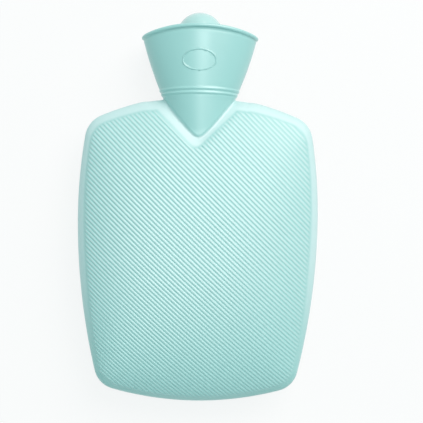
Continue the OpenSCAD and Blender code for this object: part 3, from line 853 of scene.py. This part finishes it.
def stopper_solids(form, thread):
    """The stopper: a hollow spigot, a flange, a stem and a ball knob as one turned profile, and its thread,
    whose ridge is sunk a little into the spigot."""
    stem_tuck, ball_tuck = 1.0 * MM, 0.02
    ridge_sink, ridge_base, ridge_tip = 0.4 * MM, 0.5, 0.24
    spigot_end = form.thread_y - thread.thread_inset
    knob = thread.knob_r
    meet = math.acos(thread.stem_r / knob)
    stem_top = form.knob_y - knob * math.sin(meet)
    hollow_top = form.knob_y - thread.hollow_drop
    corners = [
        (0.0, hollow_top),
        (thread.hollow_r, hollow_top),
        (thread.hollow_r, spigot_end),
        (thread.spigot_r, spigot_end),
        (thread.spigot_r, form.flange_y),
        (thread.flange_r, form.flange_y),
        (thread.flange_r, form.stem_y),
        (thread.stem_r, form.stem_y),
        (thread.stem_r, stem_top - stem_tuck),
    ]
    # How far from each corner its rounding starts
    radii = [0.0, 1.5 * MM, 0.5 * MM, 0.8 * MM, 0.3 * MM, 0.5 * MM, 0.9 * MM, 1.6 * MM, 0.0]
    a = np.linspace(-meet + ball_tuck, math.pi / 2, 64)
    ball = np.column_stack((knob * np.cos(a), form.knob_y + knob * np.sin(a)))
    ball[-1, 0] = 0.0
    profile = np.vstack((rounded(corners, radii), ball))
    ridge = thread_ridge(
        form.thread_y,
        thread.spigot_r - ridge_sink,
        thread.spigot_r + thread.thread_depth,
        thread.thread_pitch,
        thread.thread_turns,
        ridge_base * thread.thread_pitch,
        ridge_tip * thread.thread_pitch,
    )
    return turned(profile, 144), ridge


def plastic(
    name, base, deep, roughness, grain_mm, coat=0.0, coat_roughness=0.2, sheen=0.0, pale=None, polish=0.0
):
    """Moulded soft plastic: faint deeper clouds in the colour, patches that are a little duller, and a fine
    grain in the surface. With a pale colour given, the plastic goes over to it, a painted highlight and
    reflection, with the value "pale" on the mesh, and is less rough by the polish times the value "polish"."""
    cloud_scale, cloud_edge, patch_edge = 14.0, 0.15, 0.2
    smoother, duller = 0.04, 0.05
    grain_strength, grain_depth = 0.12, 0.05 * MM
    mat = bpy.data.materials.new(name)
    mat.use_nodes = True
    nodes, links = mat.node_tree.nodes, mat.node_tree.links
    shader = nodes["Principled BSDF"]
    place = nodes.new("ShaderNodeTexCoord")
    clouds = nodes.new("ShaderNodeTexNoise")
    clouds.inputs["Scale"].default_value = cloud_scale
    clouds.inputs["Detail"].default_value = 3.0
    ramp = nodes.new("ShaderNodeValToRGB")
    ramp.color_ramp.elements[0].position = 0.5 - cloud_edge
    ramp.color_ramp.elements[0].color = deep
    ramp.color_ramp.elements[1].position = 0.5 + cloud_edge
    ramp.color_ramp.elements[1].color = base
    dull = nodes.new("ShaderNodeMapRange")
    dull.inputs["From Min"].default_value = 0.5 - patch_edge
    dull.inputs["From Max"].default_value = 0.5 + patch_edge
    dull.inputs["To Min"].default_value = roughness - smoother
    dull.inputs["To Max"].default_value = roughness + duller
    grain = nodes.new("ShaderNodeTexNoise")
    grain.inputs["Scale"].default_value = 1.0 / (grain_mm * MM)
    grain.inputs["Detail"].default_value = 2.0
    bump = nodes.new("ShaderNodeBump")
    bump.inputs["Strength"].default_value = grain_strength
    bump.inputs["Distance"].default_value = grain_depth
    for noise in (clouds, grain):
        links.new(place.outputs["Object"], noise.inputs["Vector"])
    links.new(clouds.outputs["Fac"], ramp.inputs["Fac"])
    links.new(clouds.outputs["Fac"], dull.inputs["Value"])
    colour_out, dull_out = ramp.outputs["Color"], dull.outputs["Result"]
    if pale:
        colour_out = with_painted_highlight(nodes, links, colour_out, pale)
        dull_out = polished(nodes, links, dull_out, polish)
    links.new(colour_out, shader.inputs["Base Color"])
    links.new(dull_out, shader.inputs["Roughness"])
    links.new(grain.outputs["Fac"], bump.inputs["Height"])
    links.new(bump.outputs["Normal"], shader.inputs["Normal"])
    shader.inputs["Coat Weight"].default_value = coat
    shader.inputs["Coat Roughness"].default_value = coat_roughness
    shader.inputs["Specular IOR Level"].default_value = 1.0
    shader.inputs["Sheen Weight"].default_value = sheen
    shader.inputs["Sheen Roughness"].default_value = 0.5
    return mat


def painted(nodes, name):
    """An output that gives a value painted on the mesh."""
    held = nodes.new("ShaderNodeAttribute")
    held.attribute_name = name
    return held.outputs["Fac"]


def with_painted_highlight(nodes, links, shade, pale):
    """A shade that goes over to the pale one with the value "pale": a painted highlight and reflection."""
    mix = nodes.new("ShaderNodeMix")
    mix.data_type = "RGBA"
    mix.inputs["B"].default_value = pale
    links.new(painted(nodes, "pale"), mix.inputs["Factor"])
    links.new(shade, mix.inputs["A"])
    return mix.outputs["Result"]


def polished(nodes, links, dull, polish):
    """A roughness, less the polish times the value "polish"."""
    less = nodes.new("ShaderNodeMath")
    less.operation = "MULTIPLY_ADD"
    less.inputs[1].default_value = -polish
    links.new(painted(nodes, "polish"), less.inputs[0])
    links.new(dull, less.inputs[2])
    return less.outputs[0]


def deeper(shade, share):
    """A colour times a share, with its alpha left at 1."""
    return tuple(np.append(np.array(shade)[:3] * share, 1.0))


def background_rays(nodes, links):
    """An output that is 1 for the camera, for gloss and for what is seen through a piece, else 0."""
    path = nodes.new("ShaderNodeLightPath")
    seen = path.outputs["Is Camera Ray"]
    for kind in ("Is Glossy Ray", "Is Transmission Ray"):
        either = nodes.new("ShaderNodeMath")
        either.operation = "MAXIMUM"
        links.new(seen, either.inputs[0])
        links.new(path.outputs[kind], either.inputs[1])
        seen = either.outputs[0]
    return seen


def floor_material(name, base, glow):
    """A pale matt floor that the camera and the gloss see brighter than it lights the bottle."""
    mat = bpy.data.materials.new(name)
    mat.use_nodes = True
    nodes, links = mat.node_tree.nodes, mat.node_tree.links
    shader = nodes["Principled BSDF"]
    shader.inputs["Base Color"].default_value = base
    shader.inputs["Roughness"].default_value = 0.9
    light = nodes.new("ShaderNodeEmission")
    light.inputs["Strength"].default_value = 1.0
    amount = nodes.new("ShaderNodeMath")
    amount.operation = "MULTIPLY"
    amount.inputs[1].default_value = glow
    links.new(background_rays(nodes, links), amount.inputs[0])
    mix = nodes.new("ShaderNodeMixShader")
    links.new(amount.outputs[0], mix.inputs["Fac"])
    links.new(shader.outputs["BSDF"], mix.inputs[1])
    links.new(light.outputs["Emission"], mix.inputs[2])
    links.new(mix.outputs["Shader"], nodes["Material Output"].inputs["Surface"])
    return mat


def give_material(obj, material):
    """Puts one material on every slot of a carried-over node."""
    if not obj.material_slots:
        obj.data.materials.append(material)
    for held in obj.material_slots:
        held.link = "OBJECT"
        held.material = material


def studio_world(name, tint, strength):
    """Even light all round, which the camera and the gloss see as a plain white wall."""
    world = bpy.data.worlds.new(name)
    world.use_nodes = True
    nodes, links = world.node_tree.nodes, world.node_tree.links
    light = nodes["Background"]
    light.inputs["Color"].default_value = tint
    light.inputs["Strength"].default_value = strength
    wall = nodes.new("ShaderNodeBackground")
    wall.inputs["Color"].default_value = (1.0, 1.0, 1.0, 1.0)
    wall.inputs["Strength"].default_value = 1.0
    mix = nodes.new("ShaderNodeMixShader")
    links.new(background_rays(nodes, links), mix.inputs["Fac"])
    links.new(light.outputs["Background"], mix.inputs[1])
    links.new(wall.outputs["Background"], mix.inputs[2])
    links.new(mix.outputs["Shader"], nodes["World Output"].inputs["Surface"])
    return world


def area_lamp(name, place, aim, size, power, tint=(1.0, 1.0, 1.0)):
    """A square lamp at a place, facing another place."""
    lamp = bpy.data.lights.new(name, "AREA")
    lamp.shape = "SQUARE"
    lamp.size = size
    lamp.energy = power
    lamp.color = tint
    obj = bpy.data.objects.new(name, lamp)
    bpy.context.scene.collection.objects.link(obj)
    way = np.array(aim, float) - np.array(place, float)
    yaw = math.atan2(way[1], way[0]) - math.pi / 2
    pitch = math.atan2(way[2], math.hypot(way[0], way[1]))
    obj.location = place
    obj.rotation_euler = (pitch + math.pi / 2, 0.0, yaw)
    return obj


def sizes_of(context):
    """The sizes of the ribs and of the stopper's thread, and the form that the bottle's sizes make."""
    scene = context.scene
    return scene.bottle_ribs, scene.bottle_thread, BottleForm(scene.bottle_sizes, scene.bottle_thread)


class BOTTLE_OT_stage(bpy.types.Operator):
    """Adds the camera, the lamps, the world and the floor"""

    bl_idname = "bottle.stage"
    bl_label = "Stage"

    def execute(self, context):
        scene = context.scene
        stage = scene.bottle_stage
        _, _, form = sizes_of(context)
        scene.view_settings.view_transform = "Standard"
        camera = bpy.data.cameras.new("camera")
        camera.sensor_width = 36.0
        camera.lens = camera.sensor_width * stage.distance / stage.view_w
        camera.clip_end = 20.0
        eye = bpy.data.objects.new("camera", camera)
        eye.location = (stage.view_x, stage.view_y, form.mid_z + stage.distance)
        eye.rotation_euler = (0.0, 0.0, stage.roll)
        scene.collection.objects.link(eye)
        scene.camera = eye
        area_lamp("key_lamp", KEY_PLACE, LAMP_AIM, KEY_WIDTH, stage.key_power, tuple(stage.key_tint)[:3])
        area_lamp("streak_lamp", STREAK_PLACE, LAMP_AIM, STREAK_WIDTH, stage.streak_power)
        scene.world = studio_world("studio", tuple(stage.world_tint), stage.world)
        corners = np.array(((-1.0, -1.0, 0.0), (1.0, -1.0, 0.0), (1.0, 1.0, 0.0), (-1.0, 1.0, 0.0)))
        floor = mesh_object(
            "floor", FLOOR_HALF * corners, np.array(((0, 1, 2), (0, 2, 3))),
            floor_material("pale_floor", tuple(scene.bottle_colours.floor), FLOOR_GLOW), smooth=False,
        )
        return {"FINISHED"}


class BOTTLE_OT_bottle(bpy.types.Operator):
    """Makes the bottle moulding: skin, ribs, funnel, bands and bare oval, in place of its plain solid"""

    bl_idname = "bottle.bottle"
    bl_label = "Bottle"

    def execute(self, context):
        ribs, thread, form = sizes_of(context)
        shades = context.scene.bottle_colours
        # The pale colour goes on as a painted highlight and reflection where the mesh carries it
        material = plastic(
            "mint_soft_plastic", tuple(shades.mint), tuple(shades.mint_deep), 0.48, 0.35,
            coat=0.8, coat_roughness=0.45, sheen=0.1, pale=tuple(shades.pale), polish=0.13,
        )
        solids = []
        for name, (points, faces) in (
            ("skin", bottle_skin(form, thread)),
            ("ribs", rib_panel(form, ribs)),
            ("oval", oval_line(form)),
        ):
            points = lifted(form, points)
            solids.append(mesh_object(name, points, face_out(points, faces)))
        bottle = union("bottle_moulding", solids, material)
        paint_skin(form, ribs, bottle)
        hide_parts("bottle")
        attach(bottle, "bottle_body")
        return {"FINISHED"}


class BOTTLE_OT_stopper(bpy.types.Operator):
    """Makes the stopper with its ball knob and thread, in place of its plain solid"""

    bl_idname = "bottle.stopper"
    bl_label = "Stopper"

    def execute(self, context):
        _, thread, form = sizes_of(context)
        shade = tuple(context.scene.bottle_colours.knob)
        material = plastic("mint_stopper_plastic", shade, deeper(shade, 0.94), 0.36, 0.4, coat=0.8)
        solids = []
        for points, faces in stopper_solids(form, thread):
            solids.append(mesh_object("part", lifted(form, points), faces))
        stopper = union("stopper_moulding", solids, material)
        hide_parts("stopper")
        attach(stopper, "stopper_body")
        return {"FINISHED"}


class BOTTLE_OT_socket_and_seal(bpy.types.Operator):
    """Finishes the thread socket and the seal ring, whose solids stay"""

    bl_idname = "bottle.socket_and_seal"
    bl_label = "Socket and seal"

    def execute(self, context):
        shades = context.scene.bottle_colours
        white, grey = tuple(shades.socket), tuple(shades.seal)
        give_material(
            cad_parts["thread_socket"],
            plastic("white_socket_plastic", white, deeper(white, 0.95), 0.4, 0.5),
        )
        give_material(
            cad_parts["stopper_seal"],
            plastic("grey_seal_rubber", grey, deeper(grey, 0.9), 0.65, 0.3),
        )
        return {"FINISHED"}


class BOTTLE_PT_panel(bpy.types.Panel):
    """Lists the steps that make the bottle"""

    bl_idname = "BOTTLE_PT_panel"
    bl_label = "Hot water bottle"
    bl_space_type = "VIEW_3D"
    bl_region_type = "UI"
    bl_category = "Bottle"

    def draw(self, context):
        for step in STEPS:
            self.layout.operator(step.bl_idname)


GROUPS = (
    ("bottle_sizes", BottleSizes),
    ("bottle_ribs", RibSizes),
    ("bottle_thread", StopperSizes),
    ("bottle_colours", BottleColours),
    ("bottle_stage", StageSettings),
)
STEPS = (BOTTLE_OT_stage, BOTTLE_OT_bottle, BOTTLE_OT_stopper, BOTTLE_OT_socket_and_seal)


def register():
    for name, group in GROUPS:
        bpy.utils.register_class(group)
        setattr(bpy.types.Scene, name, PointerProperty(type=group))
    for step in STEPS + (BOTTLE_PT_panel,):
        bpy.utils.register_class(step)


def unregister():
    for step in reversed(STEPS + (BOTTLE_PT_panel,)):
        bpy.utils.unregister_class(step)
    for name, group in reversed(GROUPS):
        delattr(bpy.types.Scene, name)
        bpy.utils.unregister_class(group)


def main():
    """Makes everything in order."""
    register()
    for step in STEPS:
        category, name = step.bl_idname.split(".")
        getattr(getattr(bpy.ops, category), name)()


if __name__ == "__main__":
    main()
